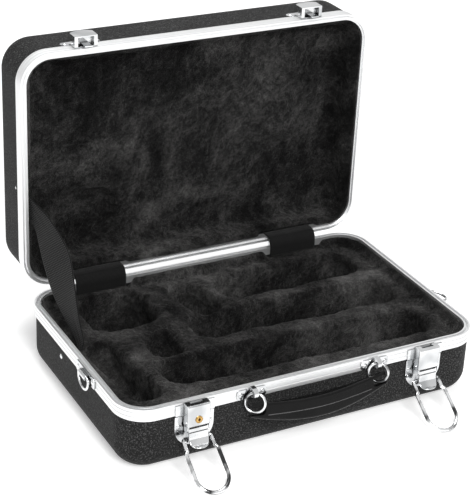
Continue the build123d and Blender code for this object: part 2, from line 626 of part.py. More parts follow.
def handle_grip():
    """Sagging moulded grip with an eye at each end, about its middle."""
    middle = GRIP_MIDDLE_HEIGHT / 2
    end = GRIP_END_HEIGHT / 2
    top = arch(GRIP_HALF_LENGTH, GRIP_SAG + end - middle, middle)
    bottom = arch(GRIP_HALF_LENGTH, GRIP_SAG + middle - end, -middle)
    front_face = make_face(top + bottom + Line(top @ 0, bottom @ 0) + Line(top @ 1, bottom @ 1))
    far = swell(GRIP_MIDDLE_THICKNESS / 2, GRIP_END_THICKNESS / 2)
    near = swell(-GRIP_MIDDLE_THICKNESS / 2, -GRIP_END_THICKNESS / 2)
    plan_face = make_face(far + near + Line(far @ 0, near @ 0) + Line(far @ 1, near @ 1))
    grip = front_cut(front_face, GRIP_MIDDLE_THICKNESS) & extrude(plan_face, amount=RING_DROP * 2, both=True)
    grip = fillet(grip.edges(), GRIP_EDGE)
    eye_z = GRIP_SAG * (BRACKET_X / GRIP_HALF_LENGTH) ** 2
    eye = SlotOverall(EYE_LENGTH, EYE_HEIGHT)
    for side in (-1, 1):
        grip -= front_cut(Pos(side * BRACKET_X, eye_z) * Rot(0, 0, side * EYE_TILT) * eye, GRIP_MIDDLE_THICKNESS)
    return Pos(0, RING_PIVOT_Y, RING_PIVOT_Z) * Rot(-RING_LEAN, 0, 0) * Pos(0, 0, EYE_RISE - RING_DROP - eye_z) * grip


# ---- rings for a shoulder strap, about the bracket's middle on the left side, then mirrored ----------
def strap_bracket():
    """Riveted plate with a rolled staple along the case's side."""
    face = Plane(origin=(-SIDE_X, STRAP_BRACKET_Y, RIM_Z - STRAP_BRACKET_DROP), x_dir=(0, -1, 0), z_dir=(-1, 0, 0))
    plate = extrude(face * RectangleRounded(STRAP_BRACKET_LENGTH, STRAP_BRACKET_HEIGHT, PLATE_CORNER), amount=SHEET)
    roll = Rot(90, 0, 0) * Cylinder(STRAP_BORE + SHEET, STRAP_STAPLE_LENGTH)
    foot = Pos(STRAP_RING_REACH / 2, 0, 0) * Box(STRAP_RING_REACH, STRAP_STAPLE_LENGTH, 2 * (STRAP_BORE + SHEET))
    bore = Rot(90, 0, 0) * Cylinder(STRAP_BORE, STRAP_STAPLE_LENGTH)
    return plate + strap_pivot() * (roll + foot - bore)


def strap_pivot():
    """Place of the left strap ring's pivot."""
    return Pos(-SIDE_X - STRAP_RING_REACH, STRAP_BRACKET_Y, RIM_Z - STRAP_BRACKET_DROP)


def strap_ring(lift):
    """D-shaped ring on the left side, lifted out from hanging."""
    path = Plane.YZ * FilletPolyline(
        (STRAP_RING_HALF, 0),
        (-STRAP_RING_HALF, 0),
        (-STRAP_RING_HALF, -STRAP_RING_DEPTH),
        (STRAP_RING_HALF, -STRAP_RING_DEPTH),
        radius=[STRAP_RING_CORNER, STRAP_RING_CORNER, STRAP_RING_ROUND, STRAP_RING_ROUND],
        close=True,
    )
    start = path.edges()[0]
    ring = sweep(Plane(origin=start @ 0, z_dir=start % 0) * Circle(STRAP_RING_WIRE), path=path)
    return strap_pivot() * Rot(0, lift, 0) * ring


# ---- lid stay ------------------------------------------------------------------------------------
def stay_ends():
    """Rivet points of the stay on the shells' inner faces, with the lid open."""
    base_point = Vector(STAY_WALL_X, STAY_BASE_Y, STAY_BASE_Z)
    lid_y = HINGE_Y + LID_RIM_Z + STAY_LID_DEPTH - HINGE_Z
    lid_z = HINGE_Z + HINGE_Y - STAY_LID_Y
    return base_point, Vector(STAY_WALL_X, lid_y, lid_z)


def lid_stay_strap():
    """Webbing from the base's left wall to the lid's, taut with the lid open."""
    base_point, lid_point = stay_ends()
    along = (lid_point - base_point).normalized()
    length = (lid_point - base_point).length
    rest_x = SOFT_GAP + STAY_THICKNESS / 2
    stations = [
        (-STAY_TAIL, rest_x, STAY_END_WIDTH, 0),
        (STAY_FLAT, rest_x, STAY_END_WIDTH, 0),
        (STAY_RAMP, STAY_STEP, STAY_END_WIDTH, 0),
        (length / 2, STAY_SAG_X, STAY_WIDTH, STAY_TWIST),
        (length - STAY_RAMP, STAY_STEP, STAY_END_WIDTH, 0),
        (length - STAY_FLAT, rest_x, STAY_END_WIDTH, 0),
        (length + STAY_TAIL, rest_x, STAY_END_WIDTH, 0),
    ]
    sections = []
    for distance, inward, width, twist in stations:
        middle = base_point + along * distance + Vector(inward, 0, 0)
        plane = Plane(origin=middle, x_dir=(1, 0, 0), z_dir=along)
        sections.append(plane * Rot(0, 0, twist) * Rectangle(STAY_THICKNESS, width))
    return loft(sections, ruled=True)


# ---- rivets --------------------------------------------------------------------------------------
def rivet_head():
    """Low domed head on the X-Y plane."""
    radius = (RIVET_HEAD_RADIUS**2 + RIVET_HEAD_HEIGHT**2) / (2 * RIVET_HEAD_HEIGHT)
    return Pos(0, 0, RIVET_HEAD_HEIGHT - radius) * Sphere(radius) & Pos(0, 0, radius) * Box(
        2 * radius, 2 * radius, 2 * radius
    )


def shank(length):
    """Rivet's shank, down from the X-Y plane."""
    return Pos(0, 0, -length / 2) * Cylinder(RIVET_SHANK_RADIUS, length)


def outward(point, direction):
    """Location at a point whose Z axis is the given direction."""
    return Location(Plane(origin=point, z_dir=direction))


def base_rivet_places():
    """Where the base's rivets go: (location of the head's seat, shank length)."""
    places = []
    through_valance = SHEET + VALANCE_WIDTH
    for side in (-1, 1):
        for step in (-1, 1):
            latch = (side * LATCH_X + step * LATCH_RIVET_X, FRONT_Y + SHELL_INSET - SHEET, RIM_Z - LATCH_RIVET_DROP)
            places.append((outward(latch, (0, -1, 0)), SHEET + WALL))
            bracket = (side * BRACKET_X + step * BRACKET_RIVET_X, FRONT_Y - SHEET, RIM_Z - BRACKET_DROP)
            places.append((outward(bracket, (0, -1, 0)), through_valance))
            strap_y = STRAP_BRACKET_Y + step * STRAP_RIVET_Y
            strap = (side * (SIDE_X + SHEET), strap_y, RIM_Z - STRAP_BRACKET_DROP)
            places.append((outward(strap, (side, 0, 0)), through_valance))
            hinge = (side * HINGE_X + step * HINGE_RIVET_X, BACK_Y + LEAF_THICKNESS, RIM_Z - VALANCE_RIVET_DROP)
            places.append((outward(hinge, (0, 1, 0)), LEAF_THICKNESS + VALANCE_WIDTH))
    stay = (-SIDE_X + SHELL_INSET, STAY_BASE_Y, STAY_BASE_Z)
    places.append((outward(stay, (-1, 0, 0)), WALL + SOFT_GAP + STAY_THICKNESS))
    return places


def lid_rivet_places():
    """Where the lid's rivets go, closed."""
    places = []
    for side in (-1, 1):
        for step in (-1, 1):
            ear_z = LID_RIM_Z + KEEPER_EAR_RISE
            ear = (side * LATCH_X + step * KEEPER_EAR_X, FRONT_Y + SHELL_INSET - SHEET, ear_z)
            places.append((outward(ear, (0, -1, 0)), SHEET + WALL))
            hinge_z = LID_RIM_Z + VALANCE_RIVET_DROP
            hinge = (side * HINGE_X + step * HINGE_RIVET_X, BACK_Y + LEAF_THICKNESS, hinge_z)
            places.append((outward(hinge, (0, 1, 0)), LEAF_THICKNESS + VALANCE_WIDTH))
    stay = (STAY_WALL_X + SOFT_GAP + STAY_THICKNESS, STAY_LID_Y, LID_RIM_Z + STAY_LID_DEPTH)
    places.append((outward(stay, (1, 0, 0)), WALL + SOFT_GAP + STAY_THICKNESS))
    return places


def rivets(places):
    """All the rivets at the given places."""
    return Part() + [place * (rivet_head() + shank(length)) for place, length in places]


def shanks(places):
    """Cutter for the rivets' holes."""
    return Part() + [place * shank(length) for place, length in places]


# ---- assembly ------------------------------------------------------------------------------------
def base_pieces():
    """Pieces of the base, some of them moving on it, as {node: solid}."""
    holes = shanks(base_rivet_places())
    pieces = {
        "base_shell": base_shell() - holes,
        "base_valance": base_valance() - holes,
        "base_insert": base_insert(),
        "base_rivets": rivets(base_rivet_places()),
        "handle_grip": handle_grip(),
        "lock_cylinder": Pos(-LATCH_X, FRONT_Y, RIM_Z) * lock_cylinder(),
        "strap_bracket_left": strap_bracket() - holes,
        "strap_bracket_right": mirror(strap_bracket(), Plane.YZ) - holes,
        "strap_ring_left": strap_ring(0),
        "strap_ring_right": mirror(strap_ring(STRAP_RING_LIFT), Plane.YZ),
    }
    for name, side in (("left", -1), ("right", 1)):
        latch = Pos(side * LATCH_X, FRONT_Y, RIM_Z)
        pieces[f"latch_{name}_plate"] = latch * latch_plate() - holes
        pieces[f"latch_{name}_housing"] = latch * latch_housing(side < 0)
        pieces[f"latch_{name}_lever"] = latch * latch_lever()
        pieces[f"latch_{name}_lever_pin"] = latch * latch_lever_pin()
        pieces[f"latch_{name}_bail"] = latch * latch_bail()
        pieces[f"handle_bracket_{name}"] = Pos(side * BRACKET_X, FRONT_Y, RIM_Z) * handle_bracket() - holes
        pieces[f"handle_ring_{name}"] = Pos(side * BRACKET_X, RING_PIVOT_Y, RING_PIVOT_Z) * handle_ring()
        pieces[f"hinge_{name}_base_leaf"] = hinge_base_leaf(side * HINGE_X) - holes
        pieces[f"hinge_{name}_pin"] = hinge_pin(side * HINGE_X)
        pieces[f"hinge_{name}_cover"] = hinge_cover(side * HINGE_X)
    return pieces


def lid_pieces():
    """Pieces of the lid, turned open, as {node: solid}."""
    holes = shanks(lid_rivet_places())
    closed = {
        "lid_shell": lid_shell() - holes,
        "lid_valance": lid_valance() - holes,
        "lid_liner": lid_liner(),
        "lid_rivets": rivets(lid_rivet_places()),
    }
    for name, side in (("left", -1), ("right", 1)):
        closed[f"keeper_{name}"] = Pos(side * LATCH_X, FRONT_Y, RIM_Z) * keeper() - holes
        closed[f"hinge_{name}_lid_leaf"] = hinge_lid_leaf(side * HINGE_X) - holes
    pieces = {name: opened(part) for name, part in closed.items()}
    stay_holes = shanks(base_rivet_places()) + opened(shanks(lid_rivet_places()))
    pieces["lid_stay_strap"] = lid_stay_strap() - stay_holes
    return pieces


def main():
    """Write one STEP file for each piece."""
    os.makedirs("parts", exist_ok=True)
    for name, part in {**base_pieces(), **lid_pieces()}.items():
        export_step(part, f"parts/{name}.step")


main()
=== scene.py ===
"""Finishes and soft pieces of an open clarinet case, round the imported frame."""

import json
import logging
import math
from abc import ABC, abstractmethod
from dataclasses import dataclass
from enum import Enum
from typing import Callable, Iterable, Sequence, Union

import bmesh
import bpy
from mathutils import Matrix, Vector, noise
from mathutils.bvhtree import BVHTree


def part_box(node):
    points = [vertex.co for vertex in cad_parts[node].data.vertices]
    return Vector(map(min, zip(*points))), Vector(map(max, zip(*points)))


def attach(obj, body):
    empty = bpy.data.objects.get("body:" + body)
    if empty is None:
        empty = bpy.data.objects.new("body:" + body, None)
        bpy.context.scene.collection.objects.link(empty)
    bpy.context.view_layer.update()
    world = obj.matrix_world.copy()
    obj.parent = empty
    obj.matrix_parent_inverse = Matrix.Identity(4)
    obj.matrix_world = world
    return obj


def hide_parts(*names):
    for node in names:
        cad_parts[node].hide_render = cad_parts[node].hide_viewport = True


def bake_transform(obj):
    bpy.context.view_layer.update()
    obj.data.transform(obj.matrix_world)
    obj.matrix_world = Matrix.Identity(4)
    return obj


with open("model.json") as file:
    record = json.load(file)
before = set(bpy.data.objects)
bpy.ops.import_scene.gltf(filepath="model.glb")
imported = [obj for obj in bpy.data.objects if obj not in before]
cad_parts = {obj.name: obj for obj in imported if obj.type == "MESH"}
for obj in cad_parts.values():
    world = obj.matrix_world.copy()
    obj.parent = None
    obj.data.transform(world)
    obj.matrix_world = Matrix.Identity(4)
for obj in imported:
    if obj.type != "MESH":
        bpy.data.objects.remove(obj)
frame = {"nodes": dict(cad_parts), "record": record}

LOG = logging.getLogger("clarinet_case")
MM = 0.001
HINGE_X = 114.0 * MM  # middle of the case to the middle of a hinge
TONGUE = 2.0 * MM  # of the lid valance, out from its rim
WIRE_WORDS = ("_bail", "_ring_")  # in the names of the nodes bent from wire

Value = Union[float, Sequence[float], bpy.types.NodeSocket]
Triple = tuple[float, float, float]
Colour = tuple[float, float, float, float]


class Slot(Enum):
    """Finishes of the case, by the record's slot names."""

    SHELL = "shell"
    VALANCE = "valance"
    PLUSH = "plush"
    PLATED_STEEL = "plated_steel"
    CLOTH = "cloth"
    WEBBING = "webbing"
    GRIP = "grip"
    LOCK_BRASS = "lock_brass"


# ---- node graphs ---------------------------------------------------------------------------------
class NodeGraph:
    """Node tree of a material or world, filled through its sockets."""

    def __init__(self, holder: Union[bpy.types.Material, bpy.types.World]) -> None:
        """Empty the tree.

        Args:
            holder: Material or world that the tree belongs to.
        """
        holder.use_nodes = True
        self.tree = holder.node_tree
        self.tree.nodes.clear()

    def add(self, kind: str, inputs: dict[Union[str, int], Value], **settings: object) -> bpy.types.Node:
        """Add a node.

        Args:
            kind: Type name of the node.
            inputs: Values or sockets for its inputs.
            **settings: Properties of the node.

        Returns:
            The new node.
        """
        node = self.tree.nodes.new(kind)
        for key, value in settings.items():
            setattr(node, key, value)
        for key, value in inputs.items():
            self.feed(node.inputs[key], value)
        return node

    def feed(self, socket: bpy.types.NodeSocket, value: Value) -> None:
        """Set a socket's value, or link it when the value is a socket."""
        if isinstance(value, bpy.types.NodeSocket):
            self.tree.links.new(value, socket)
        else:
            socket.default_value = value

    def span(
        self, value: bpy.types.NodeSocket, low: float, high: float, start: float = 0.0, end: float = 1.0
    ) -> bpy.types.NodeSocket:
        """Map a value's range from start and end to low and high, clamped.

        Args:
            value: Value to map.
            low: Result at start.
            high: Result at end.
            start: Value that gives low.
            end: Value that gives high.

        Returns:
            The mapped value.
        """
        inputs = {"Value": value, "From Min": start, "From Max": end, "To Min": low, "To Max": high}
        return self.add("ShaderNodeMapRange", inputs).outputs[0]

    def math(self, operation: str, first: Value, second: Value = 0.0) -> bpy.types.NodeSocket:
        """One sum on two values.

        Args:
            operation: Blender's name of the operation.
            first: First value.
            second: Second value.

        Returns:
            The result.
        """
        return self.add("ShaderNodeMath", {0: first, 1: second}, operation=operation).outputs[0]

    def seen(self) -> bpy.types.NodeSocket:
        """Find the rays that see the background.

        Returns:
            1 for camera, glossy and transmission rays, and 0 for others.
        """
        path = self.add("ShaderNodeLightPath", {})
        total = path.outputs["Is Camera Ray"]
        for name in ("Is Glossy Ray", "Is Transmission Ray"):
            total = self.math("MAXIMUM", total, path.outputs[name])
        return total


class Graph(NodeGraph):
    """Node graph of one finish, round a single principled shader."""

    def __init__(self, name: str) -> None:
        """Start a graph that holds only the shader.

        Args:
            name: Name of the material.
        """
        self.material = bpy.data.materials.new(name)
        super().__init__(self.material)
        self.shader = self.add("ShaderNodeBsdfPrincipled", {})
        self.add("ShaderNodeOutputMaterial", {"Surface": self.shader.outputs[0]})

    def set(self, **values: Value) -> None:
        """Feed the shader's sockets, named with underscores in place of spaces."""
        for key, value in values.items():
            self.feed(self.shader.inputs[key.replace("_", " ")], value)

    def place(self, stretch: Sequence[float] = (1, 1, 1), uv: bool = False) -> bpy.types.NodeSocket:
        """Coordinates that a pattern follows.

        Args:
            stretch: Scale along each axis.
            uv: Whether to follow the piece's own map, and not its place.

        Returns:
            The scaled coordinates.
        """
        source = self.add("ShaderNodeTexCoord", {}).outputs["UV" if uv else "Object"]
        return self.add("ShaderNodeMapping", {"Vector": source, "Scale": tuple(stretch)}).outputs[0]

    def noise(
        self,
        where: bpy.types.NodeSocket,
        scale: float,
        detail: float = 2.0,
        rough: float = 0.5,
        warp: float = 0.0,
    ) -> bpy.types.NodeSocket:
        """Cloudy pattern, from 0 to 1.

        Args:
            where: Coordinates.
            scale: Features in a metre.
            detail: Octaves.
            rough: Weight of the small octaves.
            warp: Distortion.

        Returns:
            The pattern's value.
        """
        inputs = {"Vector": where, "Scale": scale, "Detail": detail, "Roughness": rough, "Distortion": warp}
        return self.add("ShaderNodeTexNoise", inputs).outputs[0]

    def cells(self, where: bpy.types.NodeSocket, scale: float) -> bpy.types.NodeSocket:
        """Distance to the nearest of scattered points.

        Args:
            where: Coordinates.
            scale: Cells in a metre.

        Returns:
            The pattern's value.
        """
        return self.add("ShaderNodeTexVoronoi", {"Vector": where, "Scale": scale}).outputs["Distance"]

    def vector(self, operation: str, inputs: dict[Union[str, int], Value]) -> bpy.types.Node:
        """Add a node that does one sum on vectors."""
        return self.add("ShaderNodeVectorMath", inputs, operation=operation)

    def blend(self, share: bpy.types.NodeSocket, first: Value, second: Value) -> bpy.types.NodeSocket:
        """Mix two colours.

        Args:
            share: Share of the second colour.
            first: Colour at 0.
            second: Colour at 1.

        Returns:
            The mixed colour.
        """
        node = self.add("ShaderNodeMix", {0: share}, data_type="RGBA")
        self.feed(node.inputs[6], first)
        self.feed(node.inputs[7], second)
        return node.outputs[2]

    def bump(
        self, height: bpy.types.NodeSocket, distance: float, strength: float = 1.0
    ) -> bpy.types.NodeSocket:
        """Raise the surface's normal by a pattern.

        Args:
            height: Pattern, from 0 to 1.
            distance: Its height in metres.
            strength: Share of it that shows.

        Returns:
            The new normal.
        """
        inputs = {"Height": height, "Distance": distance, "Strength": strength}
        return self.add("ShaderNodeBump", inputs).outputs[0]


def grey(level: float, warmth: float = 0.0) -> Colour:
    """Grey with a warm or cool cast.

    Args:
        level: Its lightness, linear.
        warmth: Share added to red and taken from blue.

    Returns:
        The colour.
    """
    return (level * (1 + warmth), level, level * (1 - warmth), 1.0)


# ---- finishes ------------------------------------------------------------------------------------
@dataclass(frozen=True)
class PebbledAbs:
    """Black moulded ABS with a fine pebble grain, whose lighter specks are partly grain tone and partly
    painted glints.
    """

    dark: float = 0.018
    light: float = 0.11
    gloss: float = 0.03
    grain: float = 700.0
    speck: float = 630.0
    height: float = 0.0006

    def build(self) -> bpy.types.Material:
        """Make the material."""
        graph = Graph("pebbled_abs")
        where = graph.place()
        pebble = graph.cells(where, self.grain)
        speck = graph.noise(where, self.speck, rough=0.6)
        patches = graph.noise(where, 9.0, detail=3.0, rough=0.6)
        height = graph.math("ADD", graph.span(pebble, 1.0, 0.0, end=0.8), speck)
        shade = graph.math("ADD", speck, graph.span(patches, -0.05, 0.05))
        # lighter specks: partly the grain's own tone, partly painted glints where the pebbles would catch
        # the light
        speck_tone_and_glint = graph.span(shade, 0.0, 1.0, start=0.5, end=0.72)
        graph.set(
            Base_Color=graph.blend(speck_tone_and_glint, grey(self.dark), grey(self.light)),
            Roughness=graph.span(speck, 0.36, 0.62, start=0.3, end=0.7),
            Normal=graph.bump(height, self.height, strength=0.9),
            Specular_IOR_Level=self.gloss,
        )
        return graph.material


@dataclass(frozen=True)
class SatinAluminium:
    """Bright anodised extrusion with lines drawn along it by the die."""

    level: float = 0.85
    cloud: float = 0.05
    lines: float = 2600.0
    stretch: Triple = (0.012, 0.5, 1.0)
    height: float = 0.00004

    def build(self) -> bpy.types.Material:
        """Make the material."""
        graph = Graph("satin_aluminium")
        drawn = graph.noise(graph.place(self.stretch), self.lines, rough=0.6)
        clouds = graph.noise(graph.place(), 14.0, detail=3.0, rough=0.6)
        satin = graph.span(clouds, 0.3, 0.4, start=0.3, end=0.7)
        graph.set(
            Base_Color=graph.blend(clouds, grey(self.level - self.cloud, -0.006), grey(self.level, -0.004)),
            Metallic=0.92,
            Roughness=graph.math("ADD", graph.span(drawn, 0.0, 0.1), satin),
            Normal=graph.bump(drawn, self.height, strength=0.5),
        )
        return graph.material


@dataclass(frozen=True)
class NickelPlate:
    """Bright nickel plate, darker in patches that are partly dull plating and partly painted dark
    reflections, with painted shade in its corners.
    """

    name: str
    dull_and_dark_reflection: float
    bright: float
    patches: float
    # reach and colour of the painted shade in corners
    corner: float = 4.0 * MM
    shadow: float = 0.02
    height: float = 0.0003

    def build(self) -> bpy.types.Material:
        """Make the material."""
        graph = Graph(self.name)
        where = graph.place()
        wave = graph.noise(where, 110.0)
        cloud = graph.noise(where, self.patches, warp=0.3)
        # patches between the two levels: dull plating, and on the wire mostly painted reflections of dark
        # things
        polish_and_reflection = graph.span(cloud, 0.0, 1.0, start=0.4, end=0.58)
        plate = graph.blend(polish_and_reflection, grey(self.dull_and_dark_reflection, -0.02), grey(self.bright, -0.01))
        # painted shade: the colour falls to the shadow level where other surfaces are near, in corners and
        # crevices
        nearby = graph.add("ShaderNodeAmbientOcclusion", {"Distance": self.corner}, samples=8)
        clear = graph.span(nearby.outputs["AO"], 0.0, 1.0, start=0.25, end=0.85)
        graph.set(
            Base_Color=graph.blend(clear, grey(self.shadow), plate),
            Metallic=1.0,
            Roughness=graph.span(cloud, 0.09, 0.2, start=0.35, end=0.75),
            Normal=graph.bump(wave, self.height, strength=0.5),
        )
        return graph.material


@dataclass(frozen=True)
class TurnedBrass:
    """Brass of the lock's plug, turned with a ring groove and tarnished in patches, with painted shade in
    its keyway and its groove.
    """

    middle: Vector
    radius: float = 3.6 * MM
    hollow_shade: Colour = (0.05, 0.025, 0.008, 1.0)
    tarnished: Colour = (0.45, 0.24, 0.06, 1.0)
    polished: Colour = (0.83, 0.55, 0.2, 1.0)
    height: float = 0.0003

    def build(self) -> bpy.types.Material:
        """Make the material."""
        graph = Graph("turned_brass")
        where = graph.place()
        tarnish = graph.noise(where, 900.0, detail=3.0, rough=0.6)
        offset = graph.vector("ADD", {0: where, 1: tuple(-self.middle)}).outputs[0]
        flat = graph.vector("MULTIPLY", {0: offset, 1: (1, 0, 1)}).outputs[0]
        away = graph.vector("LENGTH", {0: flat}).outputs["Value"]
        face = graph.span(away, 0.0, 1.0, start=self.radius * 0.3, end=self.radius * 0.5)
        beside = graph.math("ABSOLUTE", graph.math("SUBTRACT", away, self.radius * 0.8))
        groove = graph.span(beside, 0.0, 1.0, end=self.radius * 0.1)
        raised = graph.math("MULTIPLY", face, groove)
        brass = graph.blend(tarnish, self.tarnished, self.polished)
        graph.set(
            # painted shade: the keyway's middle and the ring groove take the dark hollow colour
            Base_Color=graph.blend(raised, self.hollow_shade, brass),
            Metallic=1.0,
            Roughness=graph.span(tarnish, 0.2, 0.4),
            Normal=graph.bump(raised, self.height, strength=0.7),
        )
        return graph.material


@dataclass(frozen=True)
class BlackPlush:
    """Short black plush, whose pile lies in clouds and stands in tufts."""

    deep: float = 0.001
    light: float = 0.072
    sheen: float = 0.27
    contrast: float = 2.8
    height: float = 0.003

    def build(self) -> bpy.types.Material:
        """Make the material."""
        graph = Graph("black_plush")
        where = graph.place()
        cloud = graph.noise(where, 13.0, detail=4.0, rough=0.6, warp=0.8)
        mottle = graph.noise(where, 62.0, detail=4.0, rough=0.65, warp=0.9)
        tuft = graph.noise(where, 270.0, detail=4.0, rough=0.7, warp=0.5)
        fibre = graph.noise(where, 1200.0, detail=3.0, rough=0.7)
        broad = graph.math("ADD", graph.math("MULTIPLY", cloud, 1.9), graph.math("MULTIPLY", mottle, 0.8))
        fine = graph.math("ADD", tuft, graph.math("MULTIPLY", fibre, 1.2))
        lift = graph.span(graph.math("ADD", broad, fine), 0.0, 1.0, start=2.0, end=2.95)
        height = graph.math("ADD", tuft, graph.math("MULTIPLY", fibre, 0.5))
        lit = graph.math("POWER", lift, self.contrast)
        graph.set(
            Base_Color=graph.blend(lit, grey(self.deep), grey(self.light, 0.02)),
            Roughness=graph.span(mottle, 0.75, 0.95),
            Sheen_Weight=graph.math("MULTIPLY", lift, self.sheen),
            Sheen_Roughness=0.45,
            Sheen_Tint=grey(0.6, 0.02),
            Specular_IOR_Level=0.1,
            Normal=graph.bump(height, self.height, strength=0.9),
        )
        return graph.material


@dataclass(frozen=True)
class WovenBlack:
    """Black woven cloth or webbing, on a map in metres."""

    name: str
    pitch: float
    light: float
    height: float
    shade: float = 0.04  # of the light, between the threads
    wave: float = math.pi / 10  # length of a wave at a scale of 1

    def build(self) -> bpy.types.Material:
        """Make the material."""
        graph = Graph(self.name)
        where = graph.place(uv=True)
        inputs = {"Vector": where, "Scale": self.wave / self.pitch}
        warp = graph.add("ShaderNodeTexWave", inputs, bands_direction="X").outputs["Fac"]
        weft = graph.add("ShaderNodeTexWave", inputs, bands_direction="Y").outputs["Fac"]
        fuzz = graph.noise(where, 900.0, detail=3.0, rough=0.6)
        height = graph.math("ADD", graph.math("MULTIPLY", warp, weft), graph.math("MULTIPLY", fuzz, 0.3))
        thread = graph.span(height, 0.0, 1.0, start=0.15, end=0.95)
        graph.set(
            Base_Color=graph.blend(thread, grey(self.light * self.shade), grey(self.light)),
            Roughness=graph.span(fuzz, 0.6, 0.8),
            Sheen_Weight=0.08,
            Sheen_Roughness=0.4,
            Specular_IOR_Level=0.12,
            Normal=graph.bump(height, self.height, strength=0.9),
        )
        return graph.material


@dataclass(frozen=True)
class SatinVinyl:
    """Satin black moulded vinyl of the grip, or of its parting line, which is made lighter as a painted
    highlight.
    """

    name: str
    dark: float
    light: float
    gloss: float
    height: float = 0.00012

    def build(self) -> bpy.types.Material:
        """Make the material."""
        graph = Graph(self.name)
        where = graph.place()
        skin = graph.noise(where, 1300.0, detail=3.0, rough=0.6)
        blotch = graph.noise(where, 45.0, detail=4.0, rough=0.6)
        graph.set(
            Base_Color=graph.blend(blotch, grey(self.dark), grey(self.light)),
            Roughness=graph.span(blotch, 0.16, 0.28, start=0.3, end=0.7),
            Normal=graph.bump(skin, self.height, strength=0.6),
            Specular_IOR_Level=self.gloss,
        )
        return graph.material


class Finishes:
    """The case's finishes, one for each slot, and two for single pieces."""

    def __init__(self) -> None:
        """Build every material."""
        low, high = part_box("lock_cylinder")
        # sheet: mild dull patches and painted corner shade
        sheet = NickelPlate("nickel_sheet", dull_and_dark_reflection=0.5, bright=0.76, patches=30.0, corner=5.0 * MM)
        self.by_slot = {
            Slot.SHELL: PebbledAbs().build(),
            Slot.VALANCE: SatinAluminium().build(),
            Slot.PLUSH: BlackPlush().build(),
            Slot.PLATED_STEEL: sheet.build(),
            Slot.CLOTH: WovenBlack("plain_cloth", pitch=1.2 * MM, light=0.02, height=0.3 * MM).build(),
            Slot.WEBBING: WovenBlack("webbing", pitch=2.1 * MM, light=0.06, height=0.8 * MM).build(),
            Slot.GRIP: SatinVinyl("satin_vinyl", dark=0.002, light=0.008, gloss=0.15).build(),
            Slot.LOCK_BRASS: TurnedBrass((low + high) / 2).build(),
        }
        # parting line: lighter vinyl, painted as the highlight along its ridge
        self.painted_highlight_seam = SatinVinyl("seam_painted_highlight_vinyl", dark=0.02, light=0.11, gloss=0.6).build()
        # wire: near-black patches painted in as reflections of dark things, and painted corner shade
        self.wire = NickelPlate("nickel_wire", dull_and_dark_reflection=0.06, bright=0.85, patches=62.0).build()

    def dress_wire(self, piece: bpy.types.Object) -> None:
        """Give a bail or ring the bright wire's finish, with its painted dark reflections."""
        for holder in piece.material_slots:
            holder.material = self.wire

    def dress(self, piece: bpy.types.Object, slot: Slot) -> None:
        """Give a piece its finish in every material slot."""
        if not piece.material_slots:
            piece.data.materials.append(self.by_slot[slot])
        for holder in piece.material_slots:
            holder.material = self.by_slot[slot]


# ---- meshes --------------------------------------------------------------------------------------
def unit_grid(columns: int, rows: int) -> bmesh.types.BMesh:
    """Flat square of side 1 round the origin, in a grid."""
    bm = bmesh.new()
    bmesh.ops.create_grid(bm, x_segments=columns, y_segments=rows, size=0.5)
    return bm


def mapped(bm: bmesh.types.BMesh, width: float, run: Callable[[float], float]) -> None:
    """Map a unit grid in metres, so that a weave keeps its size on it.

    Args:
        bm: The grid, still flat.
        width: Width of the strip that it becomes.
        run: Length of that strip up to a share of the grid's rows.
    """
    layer = bm.loops.layers.uv.verify()
    for face in bm.faces:
        for loop in face.loops:
            loop[layer].uv = (loop.vert.co.x * width, run(loop.vert.co.y + 0.5))


def smoothed(bm: bmesh.types.BMesh) -> None:
    """Shade every face smooth."""
    for face in bm.faces:
        face.smooth = True


def object_of(name: str, bm: bmesh.types.BMesh) -> bpy.types.Object:
    """Link a mesh as a new object at the origin, and free its working copy."""
    mesh = bpy.data.meshes.new(name)
    bm.to_mesh(mesh)
    bm.free()
    made = bpy.data.objects.new(name, mesh)
    bpy.context.scene.collection.objects.link(made)
    return made


def applied(piece: bpy.types.Object) -> None:
    """Apply a piece's modifiers to its mesh."""
    graph = bpy.context.evaluated_depsgraph_get()
    mesh = bpy.data.meshes.new_from_object(piece.evaluated_get(graph))
    piece.modifiers.clear()
    piece.data = mesh


def strip_of(name: str, bm: bmesh.types.BMesh, thickness: float) -> bpy.types.Object:
    """Make an object of a surface, with half its thickness on each side.

    Args:
        name: Name of the object.
        bm: The surface, which is freed.
        thickness: Of the object.

    Returns:
        The object.
    """
    bmesh.ops.recalc_face_normals(bm, faces=bm.faces)
    smoothed(bm)
    piece = object_of(name, bm)
    thick = piece.modifiers.new("thickness", "SOLIDIFY")
    thick.thickness = thickness
    thick.offset = 0.0
    applied(piece)
    return piece


def eased(value: float) -> float:
    """Smooth step of a value held between 0 and 1."""
    held = max(0.0, min(1.0, value))
    return held * held * (3 - 2 * held)


# ---- soft pieces and small rigid ones ------------------------------------------------------------
class Maker(ABC):
    """Maker of one piece of the looks."""

    @abstractmethod
    def build(self, finishes: Finishes) -> bpy.types.Object:
        """Make the piece, dress it and fasten it to what it moves with."""


@dataclass(frozen=True)
class Rim:
    """Inner edge of a valance, which a lining comes up to.

    A point is read as its place along and across the case, and its depth below the rim.
    """

    across: Vector
    down: Vector
    middle: Vector
    half: tuple[float, float]
    corner: float = 31.5 * MM

    def depth(self, point: Vector) -> float:
        """Depth of a point below the rim."""
        return (point - self.middle).dot(self.down)

    def inset(self, point: Vector) -> tuple[float, Vector]:
        """How far a point lies inside the case's outline.

        Args:
            point: Any point.

        Returns:
            The distance, and the direction further inwards.
        """
        away = point - self.middle
        along, over = away.x, away.dot(self.across)
        side = (math.copysign(1.0, along), math.copysign(1.0, over))
        reach = (abs(along) - self.half[0] + self.corner, abs(over) - self.half[1] + self.corner)
        if min(reach) > 0:
            length = math.hypot(*reach)
            inward = Vector((-side[0] * reach[0], 0, 0)) - self.across * (side[1] * reach[1])
            return self.corner - length, inward / length
        if reach[0] > reach[1]:
            return self.corner - reach[0], Vector((-side[0], 0, 0))
        return self.corner - reach[1], self.across * -side[1]


